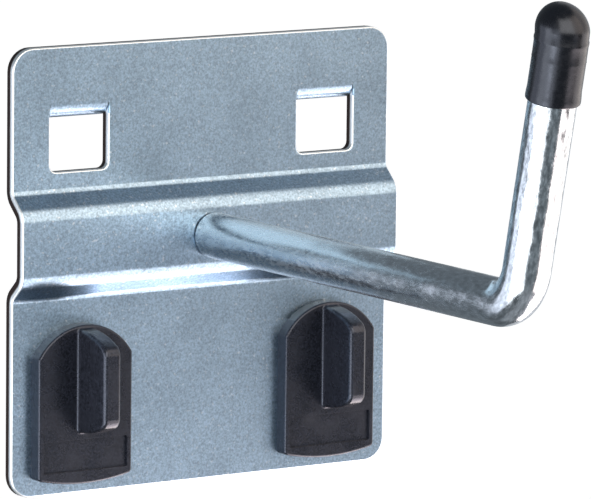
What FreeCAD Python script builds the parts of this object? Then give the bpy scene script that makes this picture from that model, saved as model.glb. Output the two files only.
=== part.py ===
import FreeCAD, Part
import os
import math
import Sketcher
from FreeCAD import Vector, Rotation

# A hook for a metal pegboard whose square holes stand in rows 38 mm apart.
# Millimetres. X runs to the right, Z up, and the hook reaches out of the panel along -Y.
# The panel's front face is the plane Y = 0. Z = 0 is the row of holes that the lower clips enter.

SIZES = [
    # panel
    ("pitch", 38.0, "spacing of the panel's holes, across and up"),
    ("opening", 8.8, "side of the square openings in the plate"),
    ("opening_corner", 1.0, "corner radius of an opening"),
    # plate
    ("sheet", 1.5, "thickness of the sheet steel"),
    ("plate_width", 58.0, "width of the plate"),
    ("plate_top", 49.8, "height of the plate's top edge above the lower holes"),
    ("plate_foot", 8.5, "depth of the plate's bottom edge below the lower holes"),
    ("plate_corner", 3.0, "corner radius of the plate"),
    ("edge_round", 0.25, "rounding of the sheared edges on the front"),
    # rib
    ("rib_centre", 24.2, "height of the rib's centre line"),
    ("rib_crest", 9.1, "height of the rib's flat crest, corner to corner"),
    ("rib_rise", 2.6, "how far the crest stands out of the plate"),
    ("rib_angle", 48.0, "slope of the rib's flanks, from the plate"),
    ("rib_bend", 1.0, "inner radius of the rib's four folds"),
    # lugs
    ("lug_width", 8.6, "width of a lug"),
    ("lug_bend", 0.4, "inner radius of a lug's two bends"),
    ("panel_gap", 2.0, "room for the panel between the plate and a lug"),
    ("lug_reach", 3.8, "straight length of a lug behind the panel"),
    ("lug_nose", 1.2, "corner radius at the end of a lug"),
    # hook
    ("rod", 6.0, "diameter of the rod"),
    ("rod_length", 72.6, "from the panel to the corner of the rod's centre lines"),
    ("rod_rise", 35.1, "from that corner to the tip, along the upturned end"),
    ("rod_lean", 12.4, "lean of the upturned end away from the panel"),
    ("rod_bend", 6.0, "centre-line radius of the bend"),
    ("rod_chamfer", 0.6, "chamfer at the rod's tip"),
    ("spigot", 4.5, "diameter of the spigot through the rib"),
    ("spigot_gap", 0.05, "radial room around the spigot"),
    ("rivet", 6.4, "diameter of the riveted head behind the rib"),
    ("rivet_height", 1.4, "height of the riveted head"),
    ("rivet_chamfer", 0.4, "chamfer of the riveted head"),
    # cap
    ("cap_length", 12.2, "length of the cap"),
    ("cap_wall", 0.35, "wall of the cap"),
    ("cap_over", 3.6, "how far the dome's top stands past the rod's tip"),
    ("cap_gap", 0.05, "radial room between cap and rod"),
    ("cap_rim", 0.25, "rounding of the cap's rim"),
    # clips
    ("flange_width", 14.1, "width of a clip's flange"),
    ("flange_shoulder", 9.8, "height of the shoulders above the stem's centre"),
    ("flange_foot", 6.1, "depth of the lower corners below the stem's centre"),
    ("flange_arch", 8.2, "radius of the arched top"),
    ("flange_belly", 29.0, "radius of the bottom edge"),
    ("flange_thick", 2.0, "thickness of the flange"),
    ("flange_corner", 0.6, "rounding of the flange's four corners"),
    ("flange_edge", 0.3, "rounding of the flange's front edge"),
    ("grip_thick", 2.5, "thickness of the finger grip"),
    ("grip_reach", 6.6, "how far the grip stands out of the flange"),
    ("grip_top", 13.3, "height of the grip's top at the flange"),
    ("grip_foot", 0.2, "depth of the grip's foot below the stem's centre"),
    ("grip_crown", 12.5, "radius of the grip's curved top"),
    ("grip_belly", 14.0, "radius of the grip's curved foot"),
    ("grip_corner", 1.6, "radius of the grip's two front corners"),
    ("grip_edge", 0.5, "rounding of the grip's long front edges"),
    ("grip_root", 0.3, "fillet where the grip meets the flange"),
    ("label_width", 12.7, "width of the bare recess"),
    ("label_height", 4.1, "height of the bare recess"),
    ("label_drop", 1.15, "depth of the recess's top edge below the stem's centre"),
    ("label_depth", 0.4, "depth of the recess"),
    ("label_corner", 0.3, "corner radius of the recess"),
    ("stem_gap", 0.15, "room between the stem and its opening, each side"),
    ("stem_past", 2.0, "how far the stem reaches behind the panel"),
    ("stem_slot", 3.4, "slot between the stem's two legs"),
    ("stem_corner", 0.6, "corner rounding of the stem's legs"),
    ("snap_rise", 0.3, "height of the snap nose on each leg"),
    ("snap_length", 1.4, "length of the snap nose along the leg"),
]

doc = FreeCAD.newDocument("pegboard_hook")
table = doc.addObject("Spreadsheet::Sheet", "Sizes")
for row, (alias, value, note) in enumerate(SIZES, start=1):
    table.set(f"A{row}", note)
    table.set(f"B{row}", str(value))
    table.setAlias(f"B{row}", alias)
doc.recompute()


def size(expression):
    """The value of an expression, in the words of the sheet."""
    value = table.evalExpression(spelled(expression))
    return float(getattr(value, "Value", value))


def spelled(expression):
    """Puts the sheet's name before each of its aliases."""
    words = {alias for alias, value, note in SIZES}
    out = []
    word = ""
    for letter in expression + " ":
        if letter.isalnum() or letter == "_":
            word += letter
            continue
        out.append("Sizes." + word if word in words else word)
        out.append(letter)
        word = ""
    return "".join(out).strip()


TOUCH = 1e-4
ZERO = "0 * sheet"

# Values that several pieces share, worked out from the sheet
BEND_SHIFT = "sheet * tan(rib_angle / 2)"
RIB_RUN = "rib_rise / tan(rib_angle)"
CREST_HALF = "rib_crest / 2"
FOOT_HALF = f"({CREST_HALF} + {RIB_RUN})"
LUG_START = "(pitch + opening / 2)"
LUG_UNDERSIDE = f"({LUG_START} - lug_bend - sheet)"
LUG_TIP = f"({LUG_START} + lug_reach)"
BEND_REACH = "(rod_bend * tan(45 - rod_lean / 2))"
STEM_HALF = "(opening / 2 - stem_gap)"
STEM_LENGTH = "(sheet + panel_gap + stem_past)"
CAP_BORE = "(rod / 2 + cap_gap)"
CAP_RADIUS = f"({CAP_BORE} + cap_wall)"


def origin_plane(body, role):
    """One of the body's own origin planes."""
    return next(o for o in body.Origin.OriginFeatures if o.Role == role)


def new_sketch(body, name, role, offset=None):
    """A sketch on an origin plane, lifted off it by an expression."""
    sketch = body.newObject("Sketcher::SketchObject", name)
    sketch.AttachmentSupport = (origin_plane(body, role), [""])
    sketch.MapMode = "FlatFace"
    if offset is not None:
        sketch.setExpression("AttachmentOffset.Base.z", spelled(offset))
    return sketch


def bind(sketch, constraint, expression):
    """Adds a constraint whose value is an expression."""
    index = sketch.addConstraint(constraint)
    sketch.setExpression(f"Constraints[{index}]", spelled(expression))


def pin(sketch, side, end, across, up):
    """Holds a point of the sketch at two expressions."""
    bind(sketch, Sketcher.Constraint("DistanceX", -1, 1, side, end, size(across)), across)
    bind(sketch, Sketcher.Constraint("DistanceY", -1, 1, side, end, size(up)), up)


def draw_side(sketch, here, there, radius=None):
    """A line between two corners, or an arc that turns left round a centre from one to the other."""
    start = Vector(size(here[0]), size(here[1]), 0)
    end = Vector(size(there[0]), size(there[1]), 0)
    if radius is None:
        return sketch.addGeometry(Part.LineSegment(start, end), False)
    chord = end - start
    height = math.sqrt(size(radius) ** 2 - chord.Length ** 2 / 4)
    left = Vector(-chord.y, chord.x, 0).normalize()
    centre = (start + end) / 2 + left * height
    first = math.atan2(start.y - centre.y, start.x - centre.x)
    last = math.atan2(end.y - centre.y, end.x - centre.x)
    circle = Part.Circle(centre, Vector(0, 0, 1), size(radius))
    arc = sketch.addGeometry(Part.ArcOfCircle(circle, first, last), False)
    bind(sketch, Sketcher.Constraint("Radius", arc, size(radius)), radius)
    return arc


def draw_outline(sketch, corners, arcs=None, hollows=None):
    """A closed outline through corners given as expressions, anticlockwise where it has arcs.

    By the number of the corner they start at, arcs gives the radius of sides that bulge
    outwards, and hollows of those that bulge inwards."""
    arcs = arcs or {}
    hollows = hollows or {}
    sides = []
    for number, here in enumerate(corners):
        there = corners[(number + 1) % len(corners)]
        if number in hollows:
            sides.append((draw_side(sketch, there, here, hollows[number]), 2, 1))
        else:
            sides.append((draw_side(sketch, here, there, arcs.get(number)), 1, 2))
    for side, following in zip(sides, sides[1:] + sides[:1]):
        meet = Sketcher.Constraint("Coincident", side[0], side[2], following[0], following[1])
        sketch.addConstraint(meet)
    for side, corner in zip(sides, corners):
        pin(sketch, side[0], side[1], *corner)


def draw_box(sketch, across, up, width, height):
    """A rectangle about a centre, all four as expressions."""
    left = f"{across} - ({width}) / 2"
    right = f"{across} + ({width}) / 2"
    low = f"{up} - ({height}) / 2"
    high = f"{up} + ({height}) / 2"
    draw_outline(sketch, [(left, low), (right, low), (right, high), (left, high)])


def draw_circle(sketch, across, up, radius):
    """A circle, its centre and radius as expressions."""
    centre = Vector(size(across), size(up), 0)
    circle = sketch.addGeometry(Part.Circle(centre, Vector(0, 0, 1), size(radius)), False)
    pin(sketch, circle, 3, across, up)
    bind(sketch, Sketcher.Constraint("Radius", circle, size(radius)), radius)


def pad(body, sketch, name, length, midplane=False, reverse=False):
    """Adds the sketch's area over a length."""
    feature = body.newObject("PartDesign::Pad", name)
    feature.Profile = sketch
    feature.setExpression("Length", spelled(length))
    feature.Midplane = midplane
    feature.Reversed = reverse
    finish_step(body, feature)
    return feature


def pocket(body, sketch, name, length, midplane=False, reverse=False):
    """Cuts the sketch's area over a length, and insists that something is cut."""
    before = body.Shape.Volume
    feature = body.newObject("PartDesign::Pocket", name)
    feature.Profile = sketch
    feature.Type = "Length"
    feature.setExpression("Length", spelled(length))
    feature.Midplane = midplane
    feature.Reversed = reverse
    finish_step(body, feature)
    if body.Shape.Volume > before - 1e-6:
        raise RuntimeError(f"{name} cuts nothing")
    return feature


def revolve(body, sketch, name, axis):
    """Turns the sketch's area once round one of its own axes."""
    feature = body.newObject("PartDesign::Revolution", name)
    feature.Profile = sketch
    feature.ReferenceAxis = (sketch, [axis])
    feature.Angle = 360
    finish_step(body, feature)


def mirror(body, features, name):
    """Repeats features on the other side of the middle plane X = 0."""
    feature = body.newObject("PartDesign::Mirrored", name)
    feature.Originals = features
    feature.MirrorPlane = (origin_plane(body, "YZ_Plane"), [""])
    body.Tip = feature
    finish_step(body, feature)
    return feature


def finish_step(body, feature):
    """Recomputes after a feature and stops at the first one that failed."""
    feature.Visibility = False
    doc.recompute()
    if "Invalid" in feature.State or "Error" in feature.State or not body.Shape.isValid():
        raise RuntimeError(f"{body.Label}: {feature.Name} failed")


def edges_where(body, test):
    """Names of the body's edges whose middle point and direction pass a test."""
    names = []
    for number, edge in enumerate(body.Shape.Edges, start=1):
        if edge.Degenerated:
            continue
        middle = edge.valueAt((edge.FirstParameter + edge.LastParameter) / 2)
        along = edge.tangentAt((edge.FirstParameter + edge.LastParameter) / 2)
        if test(middle, along, edge):
            names.append(f"Edge{number}")
    return names


def round_edges(body, name, radius, test, kind="Fillet"):
    """Rounds or chamfers the edges that pass a test."""
    names = edges_where(body, test)
    if not names:
        raise RuntimeError(f"{body.Label}: {name} finds no edge")
    before = body.Tip
    feature = body.newObject(f"PartDesign::{kind}", name)
    feature.Base = (before, names)
    feature.setExpression("Radius" if kind == "Fillet" else "Size", spelled(radius))
    finish_step(body, feature)
    return feature


def near(value, expression):
    """Whether a coordinate lies at an expression's value."""
    return abs(value - size(expression)) < TOUCH


def runs_along(direction, axis):
    """Whether an edge runs along an axis, given as a unit vector."""
    return abs(abs(direction.dot(axis)) - 1) < 1e-6


ALONG_X = Vector(1, 0, 0)
ALONG_Y = Vector(0, 1, 0)
ALONG_Z = Vector(0, 0, 1)


def make_back_plate():
    """The folded sheet: a flat plate with a rib pressed out of it, four openings and two lugs."""
    body = doc.addObject("PartDesign::Body", "back_plate")
    body.Label = "back_plate"

    # Section of the sheet, seen from the side: up the front, down the back
    front = "0 - sheet"
    crest = "0 - sheet - rib_rise"
    crest_back = "0 - rib_rise"
    low_front = f"rib_centre - {FOOT_HALF}"
    high_front = f"rib_centre + {FOOT_HALF}"
    low_crest = f"rib_centre - {CREST_HALF}"
    high_crest = f"rib_centre + {CREST_HALF}"
    section = new_sketch(body, "sheet_section", "YZ_Plane")
    draw_outline(section, [
        (front, "0 - plate_foot"),
        (front, low_front),
        (crest, low_crest),
        (crest, high_crest),
        (front, high_front),
        (front, "plate_top"),
        (ZERO, "plate_top"),
        (ZERO, f"{high_front} - {BEND_SHIFT}"),
        (crest_back, f"{high_crest} - {BEND_SHIFT}"),
        (crest_back, f"{low_crest} + {BEND_SHIFT}"),
        (ZERO, f"{low_front} + {BEND_SHIFT}"),
        (ZERO, "0 - plate_foot"),
    ])
    pad(body, section, "sheet_pad", "plate_width", midplane=True)

    # Folds: the inner radius on the hollow side of each, a sheet's thickness more on the other
    def hollow_side(middle, along, edge):
        on_front = near(middle.y, front) and (near(middle.z, low_front) or near(middle.z, high_front))
        on_back = near(middle.y, crest_back)
        return runs_along(along, ALONG_X) and (on_front or on_back)

    def round_side(middle, along, edge):
        on_front = near(middle.y, crest)
        on_back = near(middle.y, ZERO) and abs(middle.z - size("rib_centre")) < size(FOOT_HALF)
        return runs_along(along, ALONG_X) and (on_front or on_back)

    round_edges(body, "fold_hollows", "rib_bend", hollow_side)
    round_edges(body, "fold_rounds", "rib_bend + sheet", round_side)

    # Corners of the plate
    def plate_corner(middle, along, edge):
        at_side = near(abs(middle.x), "plate_width / 2")
        at_end = near(middle.z, "plate_top") or near(middle.z, "0 - plate_foot")
        return runs_along(along, ALONG_Y) and at_side and at_end

    round_edges(body, "plate_corners", "plate_corner", plate_corner)

    # Four square openings, the upper two for the lugs and the lower two for the clips
    openings = new_sketch(body, "opening_outlines", "XZ_Plane")
    for height in (ZERO, "pitch"):
        for side in ("0 - pitch / 2", "pitch / 2"):
            draw_box(openings, side, height, "opening", "opening")
    pocket(body, openings, "openings", "4 * sheet", midplane=True)

    def opening_corner(middle, along, edge):
        beside = abs(abs(middle.x) - size("pitch / 2"))
        from_row = abs(middle.z) if abs(middle.z) < size("pitch / 2") else size("pitch") - middle.z
        at_corner = near(beside, "opening / 2") and near(from_row, "opening / 2")
        return runs_along(along, ALONG_Y) and at_corner

    round_edges(body, "opening_corners", "opening_corner", opening_corner)

    # Hole for the rod's spigot, through the rib's crest
    hole = new_sketch(body, "spigot_outline", "XZ_Plane")
    draw_circle(hole, ZERO, "rib_centre", "spigot / 2 + spigot_gap")
    pocket(body, hole, "spigot_hole", "4 * (sheet + rib_rise)", midplane=True)

    # Front edges rounded by the shears and the punch
    def front_rim(middle, along, edge):
        on_flat = near(middle.y, front) and not runs_along(along, ALONG_Y)
        inside_rib = abs(middle.z - size("rib_centre")) < size(FOOT_HALF) + size("rib_bend")
        return on_flat and not inside_rib

    round_edges(body, "front_rims", "edge_round", front_rim)

    # Lugs: the sheet goes on from the top of an upper opening, back under the panel and up behind it
    profile = new_sketch(body, "lug_section", "YZ_Plane", "0 - pitch / 2")
    root = f"{LUG_START} + opening_corner"
    draw_outline(profile, [
        ("0 - sheet / 2", root),
        ("0 - sheet", f"{LUG_START} + edge_round"),
        (front, LUG_UNDERSIDE),
        ("panel_gap + sheet", LUG_UNDERSIDE),
        ("panel_gap + sheet", LUG_TIP),
        ("panel_gap", LUG_TIP),
        ("panel_gap", f"{LUG_UNDERSIDE} + sheet"),
        (ZERO, f"{LUG_UNDERSIDE} + sheet"),
        (ZERO, root),
    ])
    lug = pad(body, profile, "lug_pad", "lug_width", midplane=True)
    mirror(body, [lug], "lug_pair")

    def lug_hollow(middle, along, edge):
        on_top = near(middle.z, f"{LUG_UNDERSIDE} + sheet")
        return runs_along(along, ALONG_X) and on_top and near(edge.Length, "lug_width")

    def lug_round(middle, along, edge):
        under = near(middle.z, LUG_UNDERSIDE)
        return runs_along(along, ALONG_X) and under and near(edge.Length, "lug_width")

    def lug_end(middle, along, edge):
        at_side = near(abs(abs(middle.x) - size("pitch / 2")), "lug_width / 2")
        return runs_along(along, ALONG_Y) and at_side and near(middle.z, LUG_TIP)

    round_edges(body, "lug_hollows", "lug_bend", lug_hollow)
    round_edges(body, "lug_rounds", "lug_bend + sheet", lug_round)
    round_edges(body, "lug_ends", "lug_nose", lug_end)
    return body


def make_hook_rod():
    """The bent bar: straight out of the rib, then up, its root turned down and riveted."""
    body = doc.addObject("PartDesign::Body", "hook_rod")
    body.Label = "hook_rod"
    shoulder = "0 - sheet - rib_rise"

    # Centre line, from the tip down the leaning end, round the bend and back to the rib
    stops = [
        ("0 - rod_length - rod_rise * sin(rod_lean)", "rib_centre + rod_rise * cos(rod_lean)"),
        (f"0 - rod_length - {BEND_REACH} * sin(rod_lean)", f"rib_centre + {BEND_REACH} * cos(rod_lean)"),
        (f"0 - rod_length + {BEND_REACH}", "rib_centre"),
        (shoulder, "rib_centre"),
    ]
    path = new_sketch(body, "centre_line", "YZ_Plane")
    rise = draw_side(path, stops[0], stops[1])
    bend = draw_side(path, stops[1], stops[2], "rod_bend")
    shank = draw_side(path, stops[2], stops[3])
    path.addConstraint(Sketcher.Constraint("Coincident", rise, 2, bend, 1))
    path.addConstraint(Sketcher.Constraint("Coincident", bend, 2, shank, 1))
    for side, stop in ((rise, stops[0]), (bend, stops[1]), (shank, stops[2])):
        pin(path, side, 1, *stop)
    pin(path, shank, 2, *stops[3])

    section = new_sketch(body, "rod_section", "XZ_Plane", "sheet + rib_rise")
    draw_circle(section, ZERO, "rib_centre", "rod / 2")
    pipe = body.newObject("PartDesign::AdditivePipe", "bent_rod")
    pipe.Profile = section
    pipe.Spine = path
    finish_step(body, pipe)

    # Spigot through the crest and the head riveted behind it, turned about the rod's own line
    head_back = "(0 - rib_rise + rivet_height)"
    turned = new_sketch(body, "root_section", "YZ_Plane")
    turned.setExpression("AttachmentOffset.Base.y", spelled("rib_centre"))
    draw_outline(turned, [
        (shoulder, ZERO),
        (head_back, ZERO),
        (head_back, "rivet / 2 - rivet_chamfer"),
        (f"{head_back} - rivet_chamfer", "rivet / 2"),
        ("0 - rib_rise", "rivet / 2"),
        ("0 - rib_rise", "spigot / 2"),
        (shoulder, "spigot / 2"),
    ])
    revolve(body, turned, "riveted_root", "H_Axis")

    def tip_rim(middle, along, edge):
        from_tip = edge.CenterOfMass - Vector(0, size(stops[0][0]), size(stops[0][1]))
        return from_tip.Length < TOUCH

    round_edges(body, "tip_chamfer", "rod_chamfer", tip_rim, kind="Chamfer")
    return body


def make_tip_cap():
    """The soft cap over the rod's tip: a thin sleeve with a domed end."""
    body = doc.addObject("PartDesign::Body", "tip_cap")
    body.Label = "tip_cap"

    # Half section about the cap's own axis, its rim at 0 and its dome at the far end
    dome_foot = f"cap_length - {CAP_RADIUS}"
    half = new_sketch(body, "cap_section", "XZ_Plane")
    draw_outline(half, [
        (CAP_BORE, ZERO),
        (CAP_RADIUS, ZERO),
        (CAP_RADIUS, dome_foot),
        (ZERO, "cap_length"),
        (ZERO, "cap_length - cap_wall"),
        (CAP_BORE, dome_foot),
    ], arcs={2: CAP_RADIUS}, hollows={4: CAP_BORE})
    revolve(body, half, "cap_turned", "V_Axis")

    def outer_rim(middle, along, edge):
        return near(middle.z, ZERO) and near(math.hypot(middle.x, middle.y), CAP_RADIUS)

    round_edges(body, "cap_rim", "cap_rim", outer_rim)

    # Pushed on until its dome stands off the rod's tip
    seat = "(rod_rise + cap_over - cap_length)"
    body.Placement = FreeCAD.Placement(Vector(0, 0, 0), Rotation(Vector(1, 0, 0), size("rod_lean")))
    body.setExpression("Placement.Base.y", spelled(f"0 - rod_length - {seat} * sin(rod_lean)"))
    body.setExpression("Placement.Base.z", spelled(f"rib_centre + {seat} * cos(rod_lean)"))
    body.setExpression("Placement.Rotation.Angle", spelled("rod_lean * 1 deg"))
    doc.recompute()
    return body


def make_lock_clip(label, side):
    """One moulding: arched flange, finger grip, bare recess and a split square stem.

    side is -1 for the left clip and 1 for the right one."""
    body = doc.addObject("PartDesign::Body", label)
    body.Label = label
    face = "(0 - flange_thick)"
    inside = "(0 - flange_thick / 2)"

    # Finger grip: an upright fin with a curved top and foot, rooted inside the flange
    front = f"({face} - grip_reach)"
    crown_drop = "(grip_crown - sqrt(grip_crown ^ 2 - grip_reach ^ 2))"
    belly_rise = "(grip_belly - sqrt(grip_belly ^ 2 - grip_reach ^ 2))"
    fin = new_sketch(body, "grip_section", "YZ_Plane")
    draw_outline(fin, [
        (inside, "grip_top"),
        (face, "grip_top"),
        (front, f"grip_top - {crown_drop}"),
        (front, f"{belly_rise} - grip_foot"),
        (face, "0 - grip_foot"),
        (inside, "0 - grip_foot"),
    ], arcs={1: "grip_crown", 3: "grip_belly"})
    pad(body, fin, "grip", "grip_thick", midplane=True)

    def grip_corner(middle, along, edge):
        return runs_along(along, ALONG_X) and near(middle.y, front)

    def grip_edge(middle, along, edge):
        return near(abs(middle.x), "grip_thick / 2") and middle.y < size(inside) - TOUCH

    round_edges(body, "grip_corners", "grip_corner", grip_corner)
    round_edges(body, "grip_edges", "grip_edge", grip_edge)

    # Flange: straight sides, arched top and a gently rounded foot
    outline = new_sketch(body, "flange_outline", "XZ_Plane")
    draw_outline(outline, [
        ("0 - flange_width / 2", "0 - flange_foot"),
        ("flange_width / 2", "0 - flange_foot"),
        ("flange_width / 2", "flange_shoulder"),
        ("0 - flange_width / 2", "flange_shoulder"),
    ], arcs={0: "flange_belly", 2: "flange_arch"})
    pad(body, outline, "flange", "flange_thick")

    def flange_corner(middle, along, edge):
        return runs_along(along, ALONG_Y) and near(abs(middle.x), "flange_width / 2")

    def flange_front(middle, along, edge):
        beyond_grip = abs(middle.x) > size("grip_thick")
        at_foot = middle.z < 0 - size("flange_foot")
        at_crown = middle.z > size("grip_top") + TOUCH
        return near(middle.y, face) and (beyond_grip or at_foot or at_crown)

    def grip_root(middle, along, edge):
        beside = near(abs(middle.x), "grip_thick / 2")
        return runs_along(along, ALONG_Z) and beside and near(middle.y, face)

    round_edges(body, "flange_corners", "flange_corner", flange_corner)
    round_edges(body, "flange_front", "flange_edge", flange_front)
    round_edges(body, "grip_roots", "grip_root", grip_root)

    # Bare recess in the flange's face, below the grip
    label_height = "(0 - label_drop - label_height / 2)"
    recess = new_sketch(body, "recess_outline", "XZ_Plane", "flange_thick - label_depth")
    draw_box(recess, ZERO, label_height, "label_width", "label_height")
    pocket(body, recess, "recess", "label_depth * 2", reverse=True)

    def recess_corner(middle, along, edge):
        beside = near(abs(middle.x), "label_width / 2")
        level = near(abs(middle.z - size(label_height)), "label_height / 2")
        return runs_along(along, ALONG_Y) and beside and level

    round_edges(body, "recess_corners", "label_corner", recess_corner)

    # Stem: two legs with a snap nose each, through the plate and the panel
    leg_outside = f"({STEM_HALF} - snap_rise)"
    legs = new_sketch(body, "stem_outline", "XZ_Plane")
    draw_box(legs, ZERO, ZERO, f"2 * {leg_outside}", f"2 * {STEM_HALF}")
    pad(body, legs, "stem", STEM_LENGTH, reverse=True)

    def stem_corner(middle, along, edge):
        beside = near(abs(middle.x), leg_outside)
        return runs_along(along, ALONG_Y) and beside and near(abs(middle.z), STEM_HALF)

    round_edges(body, "stem_corners", "stem_corner", stem_corner)
    noses = new_sketch(body, "nose_outline", "XY_Plane", f"0 - {STEM_HALF} + stem_corner")
    draw_outline(noses, [
        (f"{leg_outside} - snap_rise", f"{STEM_LENGTH} - snap_length"),
        (leg_outside, f"{STEM_LENGTH} - snap_length"),
        (STEM_HALF, f"{STEM_LENGTH} - snap_length + snap_rise"),
        (STEM_HALF, f"{STEM_LENGTH} - 2 * snap_rise"),
        (leg_outside, STEM_LENGTH),
        (f"{leg_outside} - snap_rise", STEM_LENGTH),
    ])
    nose = pad(body, noses, "snap_nose", f"2 * ({STEM_HALF} - stem_corner)")
    mirror(body, [nose], "snap_noses")
    slot = new_sketch(body, "slot_outline", "YZ_Plane")
    draw_outline(slot, [
        (ZERO, f"0 - 2 * {STEM_HALF}"),
        (f"2 * {STEM_LENGTH}", f"0 - 2 * {STEM_HALF}"),
        (f"2 * {STEM_LENGTH}", f"2 * {STEM_HALF}"),
        (ZERO, f"2 * {STEM_HALF}"),
    ])
    pocket(body, slot, "stem_slot", "stem_slot", midplane=True)

    body.setExpression("Placement.Base.x", spelled(f"{side} * pitch / 2"))
    body.setExpression("Placement.Base.y", spelled("0 - sheet"))
    doc.recompute()
    return body


def check_and_write(bodies):
    """Stops at any failed object, then writes each piece under its own name."""
    doc.recompute()
    for thing in doc.Objects:
        if "Invalid" in thing.State or "Error" in thing.State:
            raise RuntimeError(f"{thing.Name} did not compute")
    for body in bodies:
        if body.Shape.isNull() or not body.Shape.isValid() or len(body.Shape.Solids) != 1:
            raise RuntimeError(f"{body.Label} is not one valid solid")
    os.makedirs("parts", exist_ok=True)
    for body in bodies:
        body.Shape.exportStep(f"parts/{body.Label}.step")
        print(f"{body.Label}: {body.Shape.Volume:.1f} mm3")


check_and_write([
    make_back_plate(),
    make_hook_rod(),
    make_tip_cap(),
    make_lock_clip("left_lock_clip", -1),
    make_lock_clip("right_lock_clip", 1),
])
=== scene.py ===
"""Dresses a pegboard hook for its portrait.

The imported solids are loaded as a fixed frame. The visible pieces are then built round them in
metres, in the same axes: X to the right, Z up, and the hook reaching out along -Y.
"""

import math

import bmesh
import bpy
from bpy.props import FloatProperty, FloatVectorProperty, PointerProperty
from mathutils import Matrix, Vector


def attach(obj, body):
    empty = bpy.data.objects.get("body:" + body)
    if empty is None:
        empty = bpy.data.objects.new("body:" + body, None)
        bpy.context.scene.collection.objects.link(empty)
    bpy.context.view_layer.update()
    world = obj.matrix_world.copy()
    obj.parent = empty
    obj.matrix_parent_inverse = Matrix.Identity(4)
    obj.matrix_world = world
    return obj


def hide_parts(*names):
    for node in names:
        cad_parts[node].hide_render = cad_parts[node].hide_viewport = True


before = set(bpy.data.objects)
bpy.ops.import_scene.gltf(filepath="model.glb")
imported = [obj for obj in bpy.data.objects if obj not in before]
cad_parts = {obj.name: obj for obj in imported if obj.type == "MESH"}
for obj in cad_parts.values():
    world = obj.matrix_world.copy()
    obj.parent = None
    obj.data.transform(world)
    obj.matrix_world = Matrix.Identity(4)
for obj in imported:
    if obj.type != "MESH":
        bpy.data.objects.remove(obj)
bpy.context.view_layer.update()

bl_info = {
    "name": "Pegboard hook",
    "version": (1, 0, 0),
    "blender": (4, 5, 0),
    "location": "3D View > Sidebar > Hook",
    "description": "Builds the visible pieces of a pegboard hook and its studio",
    "category": "Object",
}

MM = 0.001
SHEET = 1.5 * MM
RIB_CENTRE = 24.2 * MM
RIB_RISE = 2.6 * MM
CREST = -SHEET - RIB_RISE

# How close two points lie to be one point, and to be in one place, and how much of a side a
# corner's rounding takes where it leaves a sliver between two arcs
SAME = 0.001 * MM
NEAR = 0.01 * MM
NEARLY = 0.99

# How finely things are rounded, up to which angle faces are one, and from which angle an edge is
# shaded sharp or is a sheared rim
ROUND_STEPS = 96
ARC_STEPS = 24
FOLD_STEPS = 10
FLAT_ANGLE = math.radians(0.05)
SHARP_ANGLE = math.radians(32)
RIM_ANGLE = math.radians(60)

# The folded plate
PITCH = 38 * MM
PLATE_HALF = 29 * MM
PLATE_TOP = 49.8 * MM
PLATE_FOOT = -8.5 * MM
PLATE_CORNER = 3 * MM
RIB_ANGLE = math.radians(48)
RIB_BEND = 1 * MM
CREST_HALF = 4.55 * MM
FOOT_HALF = CREST_HALF + RIB_RISE / math.tan(RIB_ANGLE)
OPENING_HALF = 4.4 * MM
OPENING_CORNER = 1 * MM
OPENING_TOP = PITCH + OPENING_HALF
HOLE_RADIUS = 2.3 * MM
LUG_HALF = 4.3 * MM
LUG_BEND = 0.4 * MM
LUG_REACH = 3.8 * MM
LUG_NOSE = 1.2 * MM
PANEL_GAP = 2 * MM

# The sheet's rims: how far they are rounded, how far below an opening's top that stops, and how
# far beside them the skin is cut to stay flat
FRONT_ROUND = 0.25 * MM
BACK_ROUND = 0.1 * MM
RIM_FADE = 1.7 * MM
RIM_MARGIN = 0.4 * MM

# Shares of the sheet's depth, one kept by each point: the skins', and where a rim's wall starts
FRONT = 0.0
BACK = 1.0
RIM_DEPTH = 0.2
SAME_DEPTH = 0.01

# The bar's centre line: out of the rib, round the bend, then up and outwards
BAR_LENGTH = 72.6 * MM
BAR_RISE = 35.1 * MM
BAR_LEAN = math.radians(12.4)
BEND_RADIUS = 6 * MM
BEND_ANGLE = math.pi / 2 - BAR_LEAN
BEND_REACH = BEND_RADIUS * math.tan(BEND_ANGLE / 2)
BEND_START = Vector((0, -BAR_LENGTH + BEND_REACH, RIB_CENTRE))
BEND_CENTRE = BEND_START + Vector((0, 0, BEND_RADIUS))
UPWARDS = Vector((0, -math.sin(BAR_LEAN), math.cos(BAR_LEAN)))
INWARDS = Vector((0, math.cos(BAR_LEAN), math.sin(BAR_LEAN)))
BEND_END = Vector((0, -BAR_LENGTH, RIB_CENTRE)) + UPWARDS * BEND_REACH
BAR_TIP = Vector((0, -BAR_LENGTH, RIB_CENTRE)) + UPWARDS * BAR_RISE
TIP_TAPER = 0.6 * MM
TIP_SHARE = 0.8

# The bar's root: a spigot through the rib, riveted over behind it, and a fine groove before it
RIVET_RADIUS = 3.2 * MM
RIVET_HEIGHT = 1.4 * MM
SPIGOT_RADIUS = 2.25 * MM
GROOVE_DEPTH = 0.22 * MM

# The cap: its bore's radius, the height of a faint ring and how far its step is from its top, how
# far it passes the bar's tip, and how far its dome leans
CAP_BORE = 3.05 * MM
CAP_RING = 5.35 * MM
CAP_STEP = 4.4 * MM
CAP_PASSES = 3.6 * MM
CAP_LEAN = Vector((-0.3, 0.5, 0)) * MM

# The clips
FLANGE = 2 * MM
RECESS_DEPTH = 0.4 * MM
RECESS_ROUND = 0.14 * MM

# The studio's middle, what the camera looks at, and the floor
MIDDLE = Vector((0, -0.03, 0.025))
TARGET = Vector((-4.498, -30.0, 26.020)) * MM
FLOOR = -0.9
FLOOR_HALF = 8.0
FLOOR_GLOW = 0.75

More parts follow.
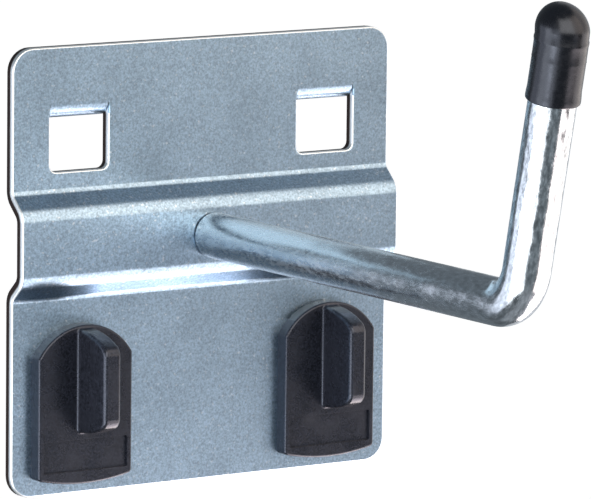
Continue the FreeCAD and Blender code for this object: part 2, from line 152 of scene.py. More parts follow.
# Each card: turns round from the front and climbs above the horizon, in degrees, then its tone
# and how many times brighter it is
CARD_DISTANCE = 0.6
CARD_STEPS = 8
CARDS = [
    ("card by the camera", (-40, 15), (-46, 3), "#868E92"),
    ("front card", (-40, 17), (3, 50), "#FFF6E8", 4.4),
    ("left front card", (-56, -40), (-46, 12), "#FFFFFF", 2.6),
    ("left strip", (-74, -56), (-46, -13), "#FFFFFF", 8.0),
    ("card above the strip", (-74, -56), (-13, 12), "#FFFFFF", 1.6),
    ("left card", (-104, -74), (-46, 12), "#FFFFFF", 4.2),
    ("left rear card", (-138, -104), (-46, 12), "#F0F4FF", 1.7),
    ("upper left card", (-138, -42), (12, 50), "#80888E"),
    ("card behind", (-218, -138), (-46, 50), "#788086"),
    ("right rear card", (104, 142), (-46, 50), "#DCE0E4"),
    ("right card", (17, 60), (1, 50), "#FFEBD8", 2.7),
    ("side card", (60, 104), (1, 50), "#FFF4EC", 1.3),
    ("near horizon card", (15, 28), (-21, 1), "#DCE0E4"),
    ("middle horizon card", (28, 36), (-21, 1), "#A2A7AC"),
    ("far horizon card", (36, 52), (-21, 1), "#4C5158"),
    ("side horizon card", (52, 104), (-21, 1), "#FFF4EC", 2.6),
    ("low right card", (15, 104), (-46, -21), "#FFEEE6", 3.7),
    ("lowest right card", (45, 125), (-66, -46), "#FFEEEA", 8.0),
    ("overhead card", (-180, 180), (50, 89), "#7C868E"),
    ("low front card", (-42, 45), (-66, -46), "#A4A8AC"),
    ("low left card", (-235, -42), (-66, -46), "#70767A"),
    ("nether card", (-180, 180), (-89, -66), "#A8ACB0"),
]

# Each lamp: its turn and climb in degrees, its width and height, and its radiance
LAMP_DISTANCE = 0.9
LAMPS = [
    ("right soft box", 58, 24, 0.8, 0.6, 2.5),
    ("left soft box", -72, 10, 0.45, 0.8, 10.0),
]


def linear(colour):
    """Linear light for an sRGB hex string."""
    parts = [int(colour[i:i + 2], 16) / 255 for i in (1, 3, 5)]
    bent = [c / 12.92 if c <= 0.04045 else ((c + 0.055) / 1.055) ** 2.4 for c in parts]
    return (*bent, 1.0)


def scaled(colour, share):
    """A linear colour made darker or paler, as a colour for a socket."""
    return (*(min(1.0, part * share) for part in colour[:3]), 1.0)


def heading(turn, climb):
    """A direction, from its turn round from the front and its climb above the horizon."""
    return Vector((math.sin(turn) * math.cos(climb), -math.cos(turn) * math.cos(climb),
                   math.sin(climb)))


class PlateSettings(bpy.types.PropertyGroup):
    """The folded sheet's finish."""

    colour: FloatVectorProperty(
        name="Plating", description="Colour of the blue-passivated zinc",
        subtype="COLOR", size=3, default=linear("#90A9C0")[:3])
    grain: FloatProperty(
        name="Grain", description="Width of one grain of the mottled zinc",
        default=0.28 * MM, unit="LENGTH", precision=5)


class BarSettings(bpy.types.PropertyGroup):
    """The bent bar's size and finish."""

    radius: FloatProperty(
        name="Radius", description="Radius of the drawn bar",
        default=3.0 * MM, unit="LENGTH", precision=5)
    colour: FloatVectorProperty(
        name="Plating", description="Colour of the zinc on the drawn bar",
        subtype="COLOR", size=3, default=linear("#B8BFC6")[:3])


class CapSettings(bpy.types.PropertyGroup):
    """The dipped cap's size and finish."""

    radius: FloatProperty(
        name="Radius", description="Outer radius of the cap at its rim",
        default=3.4 * MM, unit="LENGTH", precision=5)
    length: FloatProperty(
        name="Length", description="Length of the cap along the bar",
        default=12.2 * MM, unit="LENGTH", precision=5)
    colour: FloatVectorProperty(
        name="Vinyl", description="Colour of the cap",
        subtype="COLOR", size=3, default=linear("#07070A")[:3])


class ClipSettings(bpy.types.PropertyGroup):
    """The locking clips' finish."""

    colour: FloatVectorProperty(
        name="Nylon", description="Colour of the moulded clips",
        subtype="COLOR", size=3, default=linear("#191B22")[:3])


class StudioSettings(bpy.types.PropertyGroup):
    """Where the camera stands and how bright the studio is."""

    turn: FloatProperty(
        name="Turn", description="How far the camera stands round to the right of the front",
        default=math.radians(-33.771), unit="ROTATION")
    climb: FloatProperty(
        name="Climb", description="How high the camera stands above the horizon",
        default=math.radians(8.554), unit="ROTATION")
    roll: FloatProperty(
        name="Roll", description="How far the camera is rolled about its own line of sight",
        default=math.radians(0.649), unit="ROTATION")
    distance: FloatProperty(
        name="Distance", description="From the camera to what it looks at",
        default=0.791239, unit="LENGTH")
    lens: FloatProperty(
        name="Lens", description="Focal length on a 36 mm sensor",
        default=381.84, unit="CAMERA")
    ambient: FloatProperty(
        name="Ambient", description="Strength of the even light from all round", default=0.35)


def add_node(tree, kind, settings=None, **links):
    """Adds a node with its settings and links.

    A link's name is an input, by its name or as i and its number. Its value is a constant or
    another node's output."""
    node = tree.nodes.new(kind)
    for name, value in (settings or {}).items():
        setattr(node, name, value)
    for name, value in links.items():
        numbered = name[0] == "i" and name[1:].isdigit()
        socket = node.inputs[int(name[1:]) if numbered else name.replace("_", " ")]
        if isinstance(value, bpy.types.NodeSocket):
            tree.links.new(value, socket)
        else:
            socket.default_value = value
    return node


def noise(tree, place, size, detail, **links):
    """Noise with forms of about a size."""
    node = add_node(tree, "ShaderNodeTexNoise", Vector=place, Scale=1 / size, Detail=detail, **links)
    return node.outputs["Fac"]


def ramp(tree, value, start, stop, low=0.0, high=1.0):
    """Goes from low to high while a value goes from start to stop."""
    return add_node(tree, "ShaderNodeMapRange", Value=value, From_Min=start, From_Max=stop,
                    To_Min=low, To_Max=high).outputs[0]


def spread(tree, value, low=0.0, high=1.0):
    """Goes from low to high over the range that noise mostly keeps to."""
    return ramp(tree, value, 0.3, 0.7, low, high)


def mixed(tree, share, first, second):
    """Goes from one colour to another with a share."""
    return add_node(tree, "ShaderNodeMix", {"data_type": "RGBA"}, i0=share, i6=first,
                    i7=second).outputs[2]


def product(tree, first, second):
    """One value times another."""
    return add_node(tree, "ShaderNodeMath", {"operation": "MULTIPLY"}, i0=first,
                    i1=second).outputs[0]


def bumped(tree, height, strength, distance, **links):
    """A normal bumped by a height, over another normal where one is linked."""
    return add_node(tree, "ShaderNodeBump", Height=height, Strength=strength, Distance=distance,
                    **links).outputs[0]


def new_material(name):
    """An empty node material and its tree."""
    material = bpy.data.materials.new(name)
    material.use_nodes = True
    material.node_tree.nodes.clear()
    return material, material.node_tree


def finish_material(tree, shader):
    """Joins a shader to the material's output."""
    add_node(tree, "ShaderNodeOutputMaterial", Surface=shader.outputs[0])


def zinc_sheet(settings):
    """Blue-passivated zinc on rolled sheet: a fine mottled satin with few small bright crystals.
    Where the sheet was sheared, the front of its edge is burnished and the back torn and dull."""
    material, tree = new_material("blue-passivated zinc sheet")
    place = add_node(tree, "ShaderNodeTexCoord").outputs["Object"]
    depth = add_node(tree, "ShaderNodeAttribute", {"attribute_name": "depth"}).outputs["Fac"]
    grain = noise(tree, place, settings.grain, 3.0, Roughness=0.6)
    cloud = noise(tree, place, 9 * MM, 3.0)
    crystal = noise(tree, place, 0.5 * MM, 1.0)
    mottle = mixed(tree, spread(tree, grain), scaled(settings.colour, 0.6),
                   scaled(settings.colour, 1.34))
    drift = add_node(tree, "ShaderNodeVectorMath", {"operation": "SCALE"},
                     i0=mottle, i3=spread(tree, cloud, 0.84, 1.02)).outputs[0]
    speck = ramp(tree, crystal, 0.64, 0.76, high=0.45)
    flecked = mixed(tree, speck, drift, linear("#E6EDF2"))
    before_back = ramp(tree, depth, 0.97, 0.995, 1.0, 0.0)
    sheared = product(tree, ramp(tree, depth, 0.08, 0.16), before_back)
    torn = product(tree, ramp(tree, depth, 0.34, 0.46), before_back)
    burnished = mixed(tree, sheared, flecked, linear("#E2E8EC"))
    colour = mixed(tree, torn, burnished, linear("#3A302E"))
    satin = spread(tree, grain, 0.35, 0.29)
    rough = add_node(tree, "ShaderNodeMix", i0=sheared, i2=satin, i3=0.45).outputs[0]
    bump = bumped(tree, grain, 0.2, 0.02 * MM)
    shader = add_node(tree, "ShaderNodeBsdfPrincipled", Base_Color=colour, Metallic=1.0,
                      Roughness=rough, Normal=bump)
    finish_material(tree, shader)
    return material


def drawn_zinc(settings):
    """Zinc over cold-drawn bar, with fine lines along its length. Near the plate it is an even
    satin. Where the bar was worked, towards the bend and tip, it is bright, spotted and wavy."""
    material, tree = new_material("zinc on drawn bar")
    straight = add_node(tree, "ShaderNodeAttribute", {"attribute_name": "straight"}).outputs["Vector"]
    along = add_node(tree, "ShaderNodeSeparateXYZ", i0=straight).outputs["Y"]
    pulled = add_node(tree, "ShaderNodeMapping", Vector=straight, Scale=(1.0, 0.05, 1.0)).outputs[0]
    drawn = add_node(tree, "ShaderNodeMapping", Vector=straight, Scale=(1.0, 0.4, 1.0)).outputs[0]
    lines = noise(tree, pulled, 0.35 * MM, 2.0, Roughness=0.6)
    grain = noise(tree, drawn, 0.45 * MM, 3.0, Roughness=0.65)
    waves = noise(tree, straight, 6 * MM, 1.0)
    spotted = mixed(tree, spread(tree, grain), scaled(settings.colour, 0.42),
                    scaled(settings.colour, 1.5))
    worked = ramp(tree, along, 60 * MM, 85 * MM, low=0.22)
    colour = mixed(tree, worked, scaled(settings.colour, 1.0), spotted)
    dull = ramp(tree, along, 30 * MM, 75 * MM, 1.6, 1.0)
    rough = product(tree, spread(tree, grain, 0.12, 0.22), dull)
    wavy = bumped(tree, waves, ramp(tree, along, 40 * MM, 70 * MM, low=0.3), 0.35 * MM)
    pitted = bumped(tree, grain, ramp(tree, along, 55 * MM, 85 * MM, 0.04, 0.5), 0.02 * MM,
                    Normal=wavy)
    bump = bumped(tree, lines, 0.3, 0.012 * MM, Normal=pitted)
    shader = add_node(tree, "ShaderNodeBsdfPrincipled", Base_Color=colour, Metallic=1.0,
                      Roughness=rough, Normal=bump)
    finish_material(tree, shader)
    return material


def dipped_vinyl(settings):
    """Dip-moulded soft vinyl: near black, semi-gloss, with a faint orange peel."""
    material, tree = new_material("dip-moulded vinyl")
    place = add_node(tree, "ShaderNodeTexCoord").outputs["Object"]
    peel = noise(tree, place, 0.8 * MM, 2.0)
    dust = noise(tree, place, 0.3 * MM, 1.0)
    fine = bumped(tree, dust, 0.3, 0.01 * MM)
    bump = bumped(tree, peel, 0.3, 0.04 * MM, Normal=fine)
    shader = add_node(tree, "ShaderNodeBsdfPrincipled", Base_Color=scaled(settings.colour, 1.0),
                      Roughness=spread(tree, peel, 0.21, 0.33), IOR=1.48,
                      Specular_Tint=linear("#E0EAFF"), Normal=bump)
    finish_material(tree, shader)
    return material


def moulded_nylon(settings):
    """Injection-moulded nylon: black with a cool sheen, and the fine satin of an eroded tool."""
    material, tree = new_material("moulded nylon")
    place = add_node(tree, "ShaderNodeTexCoord").outputs["Object"]
    satin = noise(tree, place, 0.3 * MM, 3.0, Roughness=0.6)
    flow = noise(tree, place, 4 * MM, 2.0)
    colour = mixed(tree, spread(tree, satin), scaled(settings.colour, 0.2),
                   scaled(settings.colour, 2.0))
    bump = bumped(tree, satin, 0.4, 0.05 * MM)
    shader = add_node(tree, "ShaderNodeBsdfPrincipled", Base_Color=colour,
                      Roughness=spread(tree, flow, 0.22, 0.32), IOR=1.53,
                      Specular_Tint=linear("#DCE6FF"), Normal=bump)
    finish_material(tree, shader)
    return material


def link_mesh(name, mesh, material):
    """Makes an object of a bmesh and links it to the scene."""
    data = bpy.data.meshes.new(name)
    mesh.to_mesh(data)
    mesh.free()
    data.materials.append(material)
    made = bpy.data.objects.new(name, data)
    bpy.context.scene.collection.objects.link(made)
    return made


def add_piece(name, mesh, material, body, slot, *nodes):
    """Makes a piece, smooth but for its sharp rims, and hangs it on its body."""
    piece = link_mesh(name, mesh, material)
    piece.data.shade_smooth()
    piece.data.set_sharp_from_angle(angle=SHARP_ANGLE)
    weigh = piece.modifiers.new("even shading", "WEIGHTED_NORMAL")
    weigh.keep_sharp = True
    weigh.weight = 100
    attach(piece, body)
    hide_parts(*nodes)


def copied_solid(node):
    """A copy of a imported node's mesh, its loose triangles merged."""
    mesh = bmesh.new()
    mesh.from_mesh(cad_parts[node].data)
    bmesh.ops.remove_doubles(mesh, verts=mesh.verts, dist=SAME / 2)
    bmesh.ops.dissolve_limit(mesh, angle_limit=FLAT_ANGLE, verts=mesh.verts, edges=mesh.edges)
    return mesh


def draw_line(mesh, points):
    """Joins points by edges, and gives the new points and edges."""
    verts = [mesh.verts.new(p) for p in points]
    edges = [mesh.edges.new(pair) for pair in zip(verts, verts[1:])]
    return verts, edges


def draw_out(mesh, edges, step):
    """Extrudes edges by a step, and gives the new points."""
    grown = bmesh.ops.extrude_edge_only(mesh, edges=edges)["geom"]
    verts = [g for g in grown if isinstance(g, bmesh.types.BMVert)]
    bmesh.ops.translate(mesh, verts=verts, vec=step)
    return verts


def spin_profile(mesh, points, centre, axis):
    """Joins points by edges and turns them once round an axis."""
    verts, edges = draw_line(mesh, points)
    bmesh.ops.spin(mesh, geom=verts + edges, cent=centre, axis=axis, dvec=(0, 0, 0),
                   angle=2 * math.pi, steps=ROUND_STEPS, use_merge=True, use_duplicate=False)
    bmesh.ops.remove_doubles(mesh, verts=mesh.verts, dist=SAME)


def round_edges(mesh, edges, radius, segments, clamp_overlap=False):
    """Rounds edges over a width on each side, and gives what that makes."""
    return bmesh.ops.bevel(mesh, geom=edges, offset=radius, offset_type="OFFSET", affect="EDGES",
                           segments=segments, profile=0.5, material=-1, clamp_overlap=clamp_overlap)


def open_rim(mesh):
    """The edges of the mesh that still bound only one face."""
    return [e for e in mesh.edges if e.is_boundary]


def draw_skin(mesh):
    """The plate's front skin with sharp folds, all of its width."""
    line = [
        (-SHEET, PLATE_FOOT),
        (-SHEET, RIB_CENTRE - FOOT_HALF),
        (CREST, RIB_CENTRE - CREST_HALF),
        (CREST, RIB_CENTRE + CREST_HALF),
        (-SHEET, RIB_CENTRE + FOOT_HALF),
        (-SHEET, PLATE_TOP),
    ]
    edges = draw_line(mesh, [(-PLATE_HALF, y, z) for y, z in line])[1]
    draw_out(mesh, edges, (2 * PLATE_HALF, 0, 0))


def cut_opening(mesh, across, up, half):
    """Cuts a square opening in the skin about a point, its upright cuts no taller than itself.

    A cut across, below its top, divides its upright rims where their rounding ends, and cuts
    beside them keep the skin beyond flat."""
    outer = half + RIM_MARGIN
    cuts = (
        (up, Vector((0, 0, 1)), (-half, half, half - RIM_FADE)),
        (across, Vector((1, 0, 0)), (-outer, -half, half, outer)),
    )
    for centre, axis, sides in cuts:
        for side in sides:
            row = [f for f in mesh.faces if axis.z or abs(f.calc_center_median().z - up) < half]
            parts = dict.fromkeys(part for f in row for part in (f, *f.edges, *f.verts))
            bmesh.ops.bisect_plane(mesh, geom=list(parts), dist=SAME / 10,
                                   plane_co=axis * (centre + side), plane_no=axis)
    inside = []
    for face in mesh.faces:
        middle = face.calc_center_median()
        if abs(middle.x - across) < half and abs(middle.z - up) < half:
            inside.append(face)
    bmesh.ops.delete(mesh, geom=inside, context="FACES")


def level_edges(mesh, y, z):
    """The skin's edges that run across the plate at a depth and height."""
    return [e for e in mesh.edges
            if all(abs(v.co.y - y) < SAME and abs(v.co.z - z) < SAME for v in e.verts)]


def round_folds(mesh):
    """Rounds the rib's four folds, tight on their hollow side."""
    folds = ((-SHEET, FOOT_HALF, RIB_BEND), (CREST, CREST_HALF, RIB_BEND + SHEET))
    for depth, half, radius in folds:
        edges = []
        for side in (-half, half):
            edges += level_edges(mesh, depth, RIB_CENTRE + side)
        round_edges(mesh, edges, radius * math.tan(RIB_ANGLE / 2), FOLD_STEPS)


def grow(mesh, geometry, step):
    """Extrudes the edges of some geometry by a step, and gives the new rim's edges."""
    edges = [g for g in geometry if isinstance(g, bmesh.types.BMEdge)]
    verts = draw_out(mesh, edges, step)
    return [e for e in open_rim(mesh) if all(v in verts for v in e.verts)]


def turn_back(mesh, edges, centre, angle):
    """Bends the sheet on from some edges about an axis across the plate."""
    return bmesh.ops.spin(mesh, geom=edges, cent=centre, axis=(1, 0, 0), dvec=(0, 0, 0),
                          angle=angle, steps=FOLD_STEPS)["geom_last"]


def bend_lug(mesh, across):
    """Bends the sheet freed by an upper opening back through the panel and up behind it."""
    edges = [e for e in level_edges(mesh, -SHEET, OPENING_TOP)
             if e.is_boundary and all(abs(v.co.x - across) < OPENING_HALF + NEAR for v in e.verts)]
    first = turn_back(mesh, edges, (0, LUG_BEND, OPENING_TOP), math.pi / 2)
    neck = grow(mesh, first, (0, PANEL_GAP - 2 * LUG_BEND, 0))
    second = turn_back(mesh, neck, (0, PANEL_GAP - LUG_BEND, OPENING_TOP), math.pi / 2)
    grow(mesh, second, (0, 0, LUG_REACH))
    bent = [v for v in mesh.verts
            if v.co.y > -SHEET + SAME and abs(v.co.x - across) < 2 * OPENING_HALF]
    bmesh.ops.scale(mesh, verts=bent, vec=(LUG_HALF / OPENING_HALF, 1, 1),
                    space=Matrix.Translation((-across, 0, 0)))


def fold_plate(mesh):
    """The plate's front skin, cut and folded, its front turned outwards."""
    draw_skin(mesh)
    sides = (-PITCH / 2, PITCH / 2)
    for across in sides:
        for up in (0, PITCH):
            cut_opening(mesh, across, up, OPENING_HALF)
    cut_opening(mesh, 0, RIB_CENTRE, HOLE_RADIUS)
    for across in sides:
        bend_lug(mesh, across)
    bmesh.ops.remove_doubles(mesh, verts=mesh.verts, dist=SAME)
    round_folds(mesh)
    bmesh.ops.recalc_face_normals(mesh, faces=mesh.faces)
    if sum(f.normal.y for f in mesh.faces) > 0:
        bmesh.ops.reverse_faces(mesh, faces=mesh.faces)


def round_corners(mesh, spots, radius, segments=6):
    """Rounds the corners of the sheet's outline at spots across and up the plate."""
    edges = []
    for edge in mesh.edges:
        for across, up in spots:
            if all(abs(v.co.x - across) < NEAR and abs(v.co.z - up) < NEAR for v in edge.verts):
                edges.append(edge)
    if len(edges) != len(spots):
        raise RuntimeError(f"{len(edges)} corners found for {len(spots)} spots")
    round_edges(mesh, edges, radius, segments)


def round_outline(mesh):
    """Rounds the corners of the plate, of its openings and lugs, and the spigot's hole."""
    plate = [(x, z) for x in (-PLATE_HALF, PLATE_HALF) for z in (PLATE_FOOT, PLATE_TOP)]
    openings = []
    lugs = []
    for middle in (-PITCH / 2, PITCH / 2):
        for side in (-OPENING_HALF, OPENING_HALF):
            heights = (-OPENING_HALF, OPENING_HALF, PITCH - OPENING_HALF)
            openings += [(middle + side, z) for z in heights]
        for side in (-LUG_HALF, LUG_HALF):
            lugs.append((middle + side, OPENING_TOP + LUG_REACH))
    hole = [(x, RIB_CENTRE + z) for x in (-HOLE_RADIUS, HOLE_RADIUS)
            for z in (-HOLE_RADIUS, HOLE_RADIUS)]
    round_corners(mesh, plate, PLATE_CORNER, segments=8)
    round_corners(mesh, openings, OPENING_CORNER)
    round_corners(mesh, lugs, LUG_NOSE)
    round_corners(mesh, hole, HOLE_RADIUS * NEARLY)


def on_plate(point, skin):
    """Whether a point of a skin is off the lugs and their bends."""
    flat = point.y < -SHEET * (1 - skin) + NEAR
    return point.y < NEAR and (flat or abs(point.z - PITCH) > OPENING_HALF + NEAR)


def beside_lug(point):
    """Whether a rim's point is beside a lug's bend, where the rims aren't rounded."""
    within = abs(abs(point.x) - PITCH / 2) < OPENING_HALF + NEAR
    return within and -NEAR < OPENING_TOP - point.z < RIM_FADE + NEAR


def soften_rims(mesh, depth, skin, radius, segments):
    """Rounds the rims of one skin of the sheet, but for the lugs', and notes their depth."""
    edges = []
    for edge in mesh.edges:
        on_skin = all(abs(v[depth] - skin) < SAME_DEPTH for v in edge.verts)
        rounded = all(on_plate(v.co, skin) for v in edge.verts)
        fades = all(beside_lug(v.co) for v in edge.verts)
        if on_skin and rounded and not fades and edge.calc_face_angle(0) > RIM_ANGLE:
            edges.append(edge)
    made = round_edges(mesh, edges, radius, segments)
    rounding = set(made["faces"])
    for vert in made["verts"]:
        beside = [f for f in vert.link_faces if f not in rounding]
        if not any(all(abs(v[depth] - skin) < SAME_DEPTH for v in f.verts) for f in beside):
            vert[depth] = abs(skin - RIM_DEPTH)


class HOOK_OT_dress_plate(bpy.types.Operator):
    """Builds the folded, zinc-plated sheet with its rib, openings and lugs"""

    bl_idname = "hook.dress_plate"
    bl_label = "Back plate"

    def execute(self, context):
        mesh = bmesh.new()
        fold_plate(mesh)
        depth = mesh.verts.layers.float.new("depth")
        front = set(mesh.verts)
        bmesh.ops.solidify(mesh, geom=mesh.faces[:], thickness=SHEET)
        for vert in mesh.verts:
            vert[depth] = FRONT if vert in front else BACK
        round_outline(mesh)
        soften_rims(mesh, depth, FRONT, FRONT_ROUND, segments=3)
        soften_rims(mesh, depth, BACK, BACK_ROUND, segments=2)
        material = zinc_sheet(context.scene.hook_plate)
        add_piece("plated_back_plate", mesh, material, "hook", "plated_sheet", "back_plate")
        return {"FINISHED"}


def root_profile(radius):
    """The bar's root from the rivet's middle to the bend: distances out and places along Y."""
    head = -RIB_RISE + RIVET_HEIGHT
    groove = radius - GROOVE_DEPTH
    return [
        (0.0, head),
        (RIVET_RADIUS - 1.0 * MM, head),
        (RIVET_RADIUS - 0.3 * MM, head - 0.12 * MM),
        (RIVET_RADIUS, head - 0.4 * MM),
        (RIVET_RADIUS, -RIB_RISE),
        (SPIGOT_RADIUS, -RIB_RISE),
        (SPIGOT_RADIUS, CREST),
        (groove, CREST),
        (groove, CREST - 0.14 * MM),
        (radius - 0.06 * MM, CREST - 0.16 * MM),
        (radius, CREST - 0.24 * MM),
        (radius, BEND_START.y),
    ]


def straightened(point):
    """Where a point of the bar's skin lay before the bar was bent: across, along, up."""
    if point.y >= BEND_START.y:
        return (point.x, -point.y, point.z - RIB_CENTRE)
    arm = point - BEND_CENTRE
    turned = math.atan2(-arm.y, -arm.z)
    if turned <= BEND_ANGLE:
        reach = math.hypot(arm.y, arm.z)
        return (point.x, -BEND_START.y + BEND_RADIUS * turned, BEND_RADIUS - reach)
    risen = point - BEND_END
    along = -BEND_START.y + BEND_RADIUS * BEND_ANGLE + risen.dot(UPWARDS)
    return (point.x, along, risen.dot(INWARDS))


class HOOK_OT_bend_bar(bpy.types.Operator):
    """Turns the bar's riveted root, then bends the bar out of the rib and up"""

    bl_idname = "hook.bend_bar"
    bl_label = "Hook bar"

    def execute(self, context):
        settings = context.scene.hook_bar
        mesh = bmesh.new()
        points = [Vector((0, y, RIB_CENTRE + r)) for r, y in root_profile(settings.radius)]
        spin_profile(mesh, points, (0, 0, RIB_CENTRE), (0, 1, 0))
        bmesh.ops.spin(mesh, geom=open_rim(mesh), cent=BEND_CENTRE, axis=(-1, 0, 0),
                       dvec=(0, 0, 0), angle=BEND_ANGLE, steps=ARC_STEPS)
        bmesh.ops.remove_doubles(mesh, verts=mesh.verts, dist=SAME)
        riser = BAR_RISE - BEND_REACH - TIP_TAPER
        for reach, share in ((riser, 1.0), (TIP_TAPER, TIP_SHARE)):
            ring = draw_out(mesh, open_rim(mesh), UPWARDS * reach)
            middle = sum((v.co for v in ring), Vector()) / len(ring)
            bmesh.ops.scale(mesh, verts=ring, vec=(share,) * 3, space=Matrix.Translation(-middle))
        bmesh.ops.holes_fill(mesh, edges=open_rim(mesh), sides=0)
        bmesh.ops.recalc_face_normals(mesh, faces=mesh.faces)
        layer = mesh.verts.layers.float_vector.new("straight")
        for vert in mesh.verts:
            vert[layer] = straightened(vert.co)
        material = drawn_zinc(settings)
        add_piece("drawn_hook_bar", mesh, material, "hook", "plated_rod", "hook_rod")
        return {"FINISHED"}


def cap_profile(radius, length):
    """The cap's wall from its rim over the dome and back inside: distances out and heights."""
    waist = radius - 0.08 * MM
    dome = radius - 0.05 * MM
    dome_foot = length - radius
    step = length - CAP_STEP
    outside = [
        (CAP_BORE, 0.10 * MM),
        (CAP_BORE + 0.12 * MM, 0.0),
        (radius - 0.12 * MM, 0.0),
        (radius - 0.02 * MM, 0.12 * MM),
        (radius, 0.35 * MM),
        (radius - 0.02 * MM, 0.8 * MM),
        (waist, 1.6 * MM),
        (waist, CAP_RING - 0.15 * MM),
        (waist + 0.03 * MM, CAP_RING),
        (waist, CAP_RING + 0.15 * MM),
        (waist, step - 0.5 * MM),
        (waist + 0.05 * MM, step - 0.25 * MM),
        (waist + 0.05 * MM, step),
        (waist - 0.02 * MM, step + 0.2 * MM),
    ]
    for number in range(1, ARC_STEPS + 1):
        angle = number / ARC_STEPS * math.pi / 2
        outside.append((dome * math.cos(angle), dome_foot + radius * math.sin(angle)))
    inside = [
        (0.0, length - 0.45 * MM),
        (1.6 * MM, length - 0.9 * MM),
        (2.6 * MM, length - 2.0 * MM),
        (CAP_BORE, dome_foot),
    ]
    return [*outside, *inside, outside[0]]


class HOOK_OT_dip_cap(bpy.types.Operator):
    """Spins the soft cap and pushes it on the bar's tip"""

    bl_idname = "hook.dip_cap"
    bl_label = "Tip cap"

    def execute(self, context):
        settings = context.scene.hook_cap
        length = settings.length
        mesh = bmesh.new()
        points = [Vector((r, 0, z)) for r, z in cap_profile(settings.radius, length)]
        spin_profile(mesh, points, (0, 0, 0), (0, 0, 1))
        bmesh.ops.recalc_face_normals(mesh, faces=mesh.faces)
        for vert in mesh.verts:
            share = max(0.0, vert.co.z / length - 0.5) * 2
            vert.co += CAP_LEAN * share ** 2
        seat = BAR_TIP + UPWARDS * (CAP_PASSES - length)
        place = Matrix.Translation(seat) @ Matrix.Rotation(BAR_LEAN, 4, "X")
        bmesh.ops.transform(mesh, matrix=place, verts=mesh.verts)
        material = dipped_vinyl(settings)
        add_piece("dipped_tip_cap", mesh, material, "hook", "cap_vinyl", "tip_cap")
        return {"FINISHED"}


def round_recess(mesh):
    """Rounds the rim of a clip's bare recess, where the solid has it sharp."""
    front = -SHEET - FLANGE
    floor = front + RECESS_DEPTH
    sunk = {v for v in mesh.verts if abs(v.co.y - floor) < SAME}
    rim = []
    for edge in mesh.edges:
        on_front = all(abs(v.co.y - front) < SAME for v in edge.verts)
        wall = any(sunk.intersection(f.verts) for f in edge.link_faces)
        if on_front and wall:
            rim.append(edge)
    if not rim:
        raise RuntimeError("a clip has no recess")
    round_edges(mesh, rim, RECESS_ROUND, segments=2, clamp_overlap=True)


class HOOK_OT_mould_clips(bpy.types.Operator):
    """Builds the two pull-out locking clips, their recesses bare"""

    bl_idname = "hook.mould_clips"
    bl_label = "Locking clips"

    def execute(self, context):
        material = moulded_nylon(context.scene.hook_clips)
        for side in ("left", "right"):
            node = f"{side}_lock_clip"
            mesh = copied_solid(node)
            round_recess(mesh)
            add_piece(f"{side}_moulded_clip", mesh, material, f"{side}_lock", "clip_plastic", node)
        return {"FINISHED"}


def shown_not_lit(tree):
    """1 for the rays of the camera, of gloss and of glass, and 0 for the light on the object."""
    path = add_node(tree, "ShaderNodeLightPath")
    seen = add_node(tree, "ShaderNodeMath", {"operation": "ADD"},
                    i0=path.outputs["Is Camera Ray"], i1=path.outputs["Is Glossy Ray"])
    return add_node(tree, "ShaderNodeMath", {"operation": "ADD", "use_clamp": True},
                    i0=seen.outputs[0], i1=path.outputs["Is Transmission Ray"]).outputs[0]


def lay_floor():
    """A wide pale floor that looks white but keeps the object's shadow."""
    mesh = bmesh.new()
    bmesh.ops.create_grid(mesh, x_segments=1, y_segments=1, size=FLOOR_HALF)
    bmesh.ops.translate(mesh, verts=mesh.verts, vec=(0, 0, FLOOR))
    material, tree = new_material("white paper")
    paper = add_node(tree, "ShaderNodeBsdfDiffuse", Color=linear("#F2F2F2"))
    lift = product(tree, shown_not_lit(tree), FLOOR_GLOW)
    glow = add_node(tree, "ShaderNodeEmission", Strength=lift)
    both = add_node(tree, "ShaderNodeAddShader", i0=paper.outputs[0], i1=glow.outputs[0])
    finish_material(tree, both)
    floor = link_mesh("floor", mesh, material)


def hang_card(name, turns, climbs, tone, strength=1.0):
    """A curved card, part of a ball round the object, that only gloss sees.

    It reaches from the first to the last of its turns, and of its climbs, in degrees."""
    first, last = (math.radians(a) for a in turns)
    low, high = (math.radians(a) for a in climbs)
    climbing = [low + (high - low) * number / CARD_STEPS for number in range(CARD_STEPS + 1)]
    mesh = bmesh.new()
    verts, edges = draw_line(mesh, [heading(first, climb) * CARD_DISTANCE for climb in climbing])
    bmesh.ops.spin(mesh, geom=verts + edges, cent=(0, 0, 0), axis=(0, 0, 1), dvec=(0, 0, 0),
                   angle=last - first, steps=ARC_STEPS)
    bmesh.ops.translate(mesh, verts=mesh.verts, vec=MIDDLE)
    material, tree = new_material(name)
    glow = add_node(tree, "ShaderNodeEmission", Color=linear(tone), Strength=strength)
    finish_material(tree, glow)
    card = link_mesh(name, mesh, material)
    card.visible_camera = False
    card.visible_diffuse = False
    card.visible_shadow = False
    card.visible_transmission = False


def light_world(ambient):
    """Even pale light on the object, and white behind it."""
    world = bpy.data.worlds.new("studio")
    bpy.context.scene.world = world
    world.use_nodes = True
    tree = world.node_tree
    tree.nodes.clear()
    even = add_node(tree, "ShaderNodeBackground", Color=linear("#F4F6F8"), Strength=ambient)
    white = add_node(tree, "ShaderNodeBackground", Color=(1, 1, 1, 1), Strength=1.0)
    both = add_node(tree, "ShaderNodeMixShader", i0=shown_not_lit(tree), i1=even.outputs[0],
                    i2=white.outputs[0])
    add_node(tree, "ShaderNodeOutputWorld", Surface=both.outputs[0])


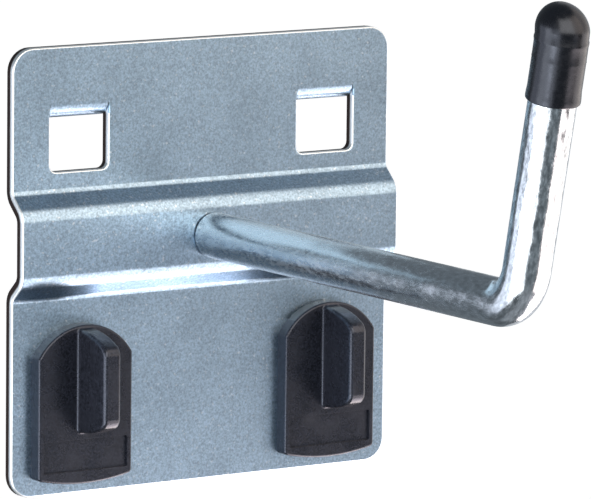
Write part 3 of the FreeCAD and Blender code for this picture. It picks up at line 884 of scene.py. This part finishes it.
def hang_lamp(name, turn, climb, width, height, radiance):
    """A soft box that faces the middle of the hook and lights its matt side.

    Its brightness is given as radiance. Gloss sees the cards in its place."""
    data = bpy.data.lights.new(name, "AREA")
    data.shape = "RECTANGLE"
    data.size = width
    data.size_y = height
    data.energy = radiance * math.pi * width * height
    outwards = heading(math.radians(turn), math.radians(climb))
    lamp = bpy.data.objects.new(name, data)
    lamp.location = MIDDLE + outwards * LAMP_DISTANCE
    lamp.rotation_euler = outwards.to_track_quat("Z", "Y").to_euler()
    lamp.visible_camera = False
    lamp.visible_glossy = False
    bpy.context.scene.collection.objects.link(lamp)


def stand_camera(settings):
    """Puts the camera where the portrait was taken from."""
    turn, roll = settings.turn, settings.roll
    back = heading(turn, settings.climb)
    right = Vector((math.cos(turn), math.sin(turn), 0))
    up = back.cross(right)
    tilted_right = right * math.cos(roll) + up * math.sin(roll)
    tilted_up = up * math.cos(roll) - right * math.sin(roll)
    data = bpy.data.cameras.new("portrait camera")
    data.sensor_width = 36
    data.lens = settings.lens
    data.clip_start = 0.05
    data.clip_end = 50
    camera = bpy.data.objects.new("portrait camera", data)
    columns = Matrix((tilted_right, tilted_up, back)).transposed()
    camera.matrix_world = Matrix.Translation(TARGET + back * settings.distance) @ columns.to_4x4()
    bpy.context.scene.collection.objects.link(camera)
    bpy.context.scene.camera = camera


class HOOK_OT_set_stage(bpy.types.Operator):
    """Sets up the floor, the cards, the soft boxes and the camera"""

    bl_idname = "hook.set_stage"
    bl_label = "Studio"

    def execute(self, context):
        settings = context.scene.hook_studio
        context.scene.view_settings.view_transform = "Standard"
        light_world(settings.ambient)
        lay_floor()
        stand_camera(settings)
        for card in CARDS:
            hang_card(*card)
        for lamp in LAMPS:
            hang_lamp(*lamp)
        return {"FINISHED"}


class HOOK_PT_pieces(bpy.types.Panel):
    """Lists the hook's pieces and their settings"""

    bl_idname = "HOOK_PT_pieces"
    bl_label = "Pegboard hook"
    bl_space_type = "VIEW_3D"
    bl_region_type = "UI"
    bl_category = "Hook"

    def draw(self, context):
        for operator, group in MAKING:
            box = self.layout.box()
            box.operator(operator.bl_idname)
            settings = getattr(context.scene, group)
            for name in settings.__annotations__:
                box.prop(settings, name)


GROUPS = {
    "hook_plate": PlateSettings,
    "hook_bar": BarSettings,
    "hook_cap": CapSettings,
    "hook_clips": ClipSettings,
    "hook_studio": StudioSettings,
}
MAKING = [
    (HOOK_OT_dress_plate, "hook_plate"),
    (HOOK_OT_bend_bar, "hook_bar"),
    (HOOK_OT_dip_cap, "hook_cap"),
    (HOOK_OT_mould_clips, "hook_clips"),
    (HOOK_OT_set_stage, "hook_studio"),
]
CLASSES = [*GROUPS.values(), *(operator for operator, group in MAKING), HOOK_PT_pieces]


def register():
    """Adds the classes and the scene's settings."""
    for kind in CLASSES:
        bpy.utils.register_class(kind)
    for name, kind in GROUPS.items():
        setattr(bpy.types.Scene, name, PointerProperty(type=kind))


def unregister():
    """Takes them away again."""
    for name in GROUPS:
        delattr(bpy.types.Scene, name)
    for kind in reversed(CLASSES):
        bpy.utils.unregister_class(kind)


def main():
    """Makes every piece and the studio."""
    register()
    bpy.ops.hook.dress_plate()
    bpy.ops.hook.bend_bar()
    bpy.ops.hook.dip_cap()
    bpy.ops.hook.mould_clips()
    bpy.ops.hook.set_stage()


if __name__ == "__main__":
    main()
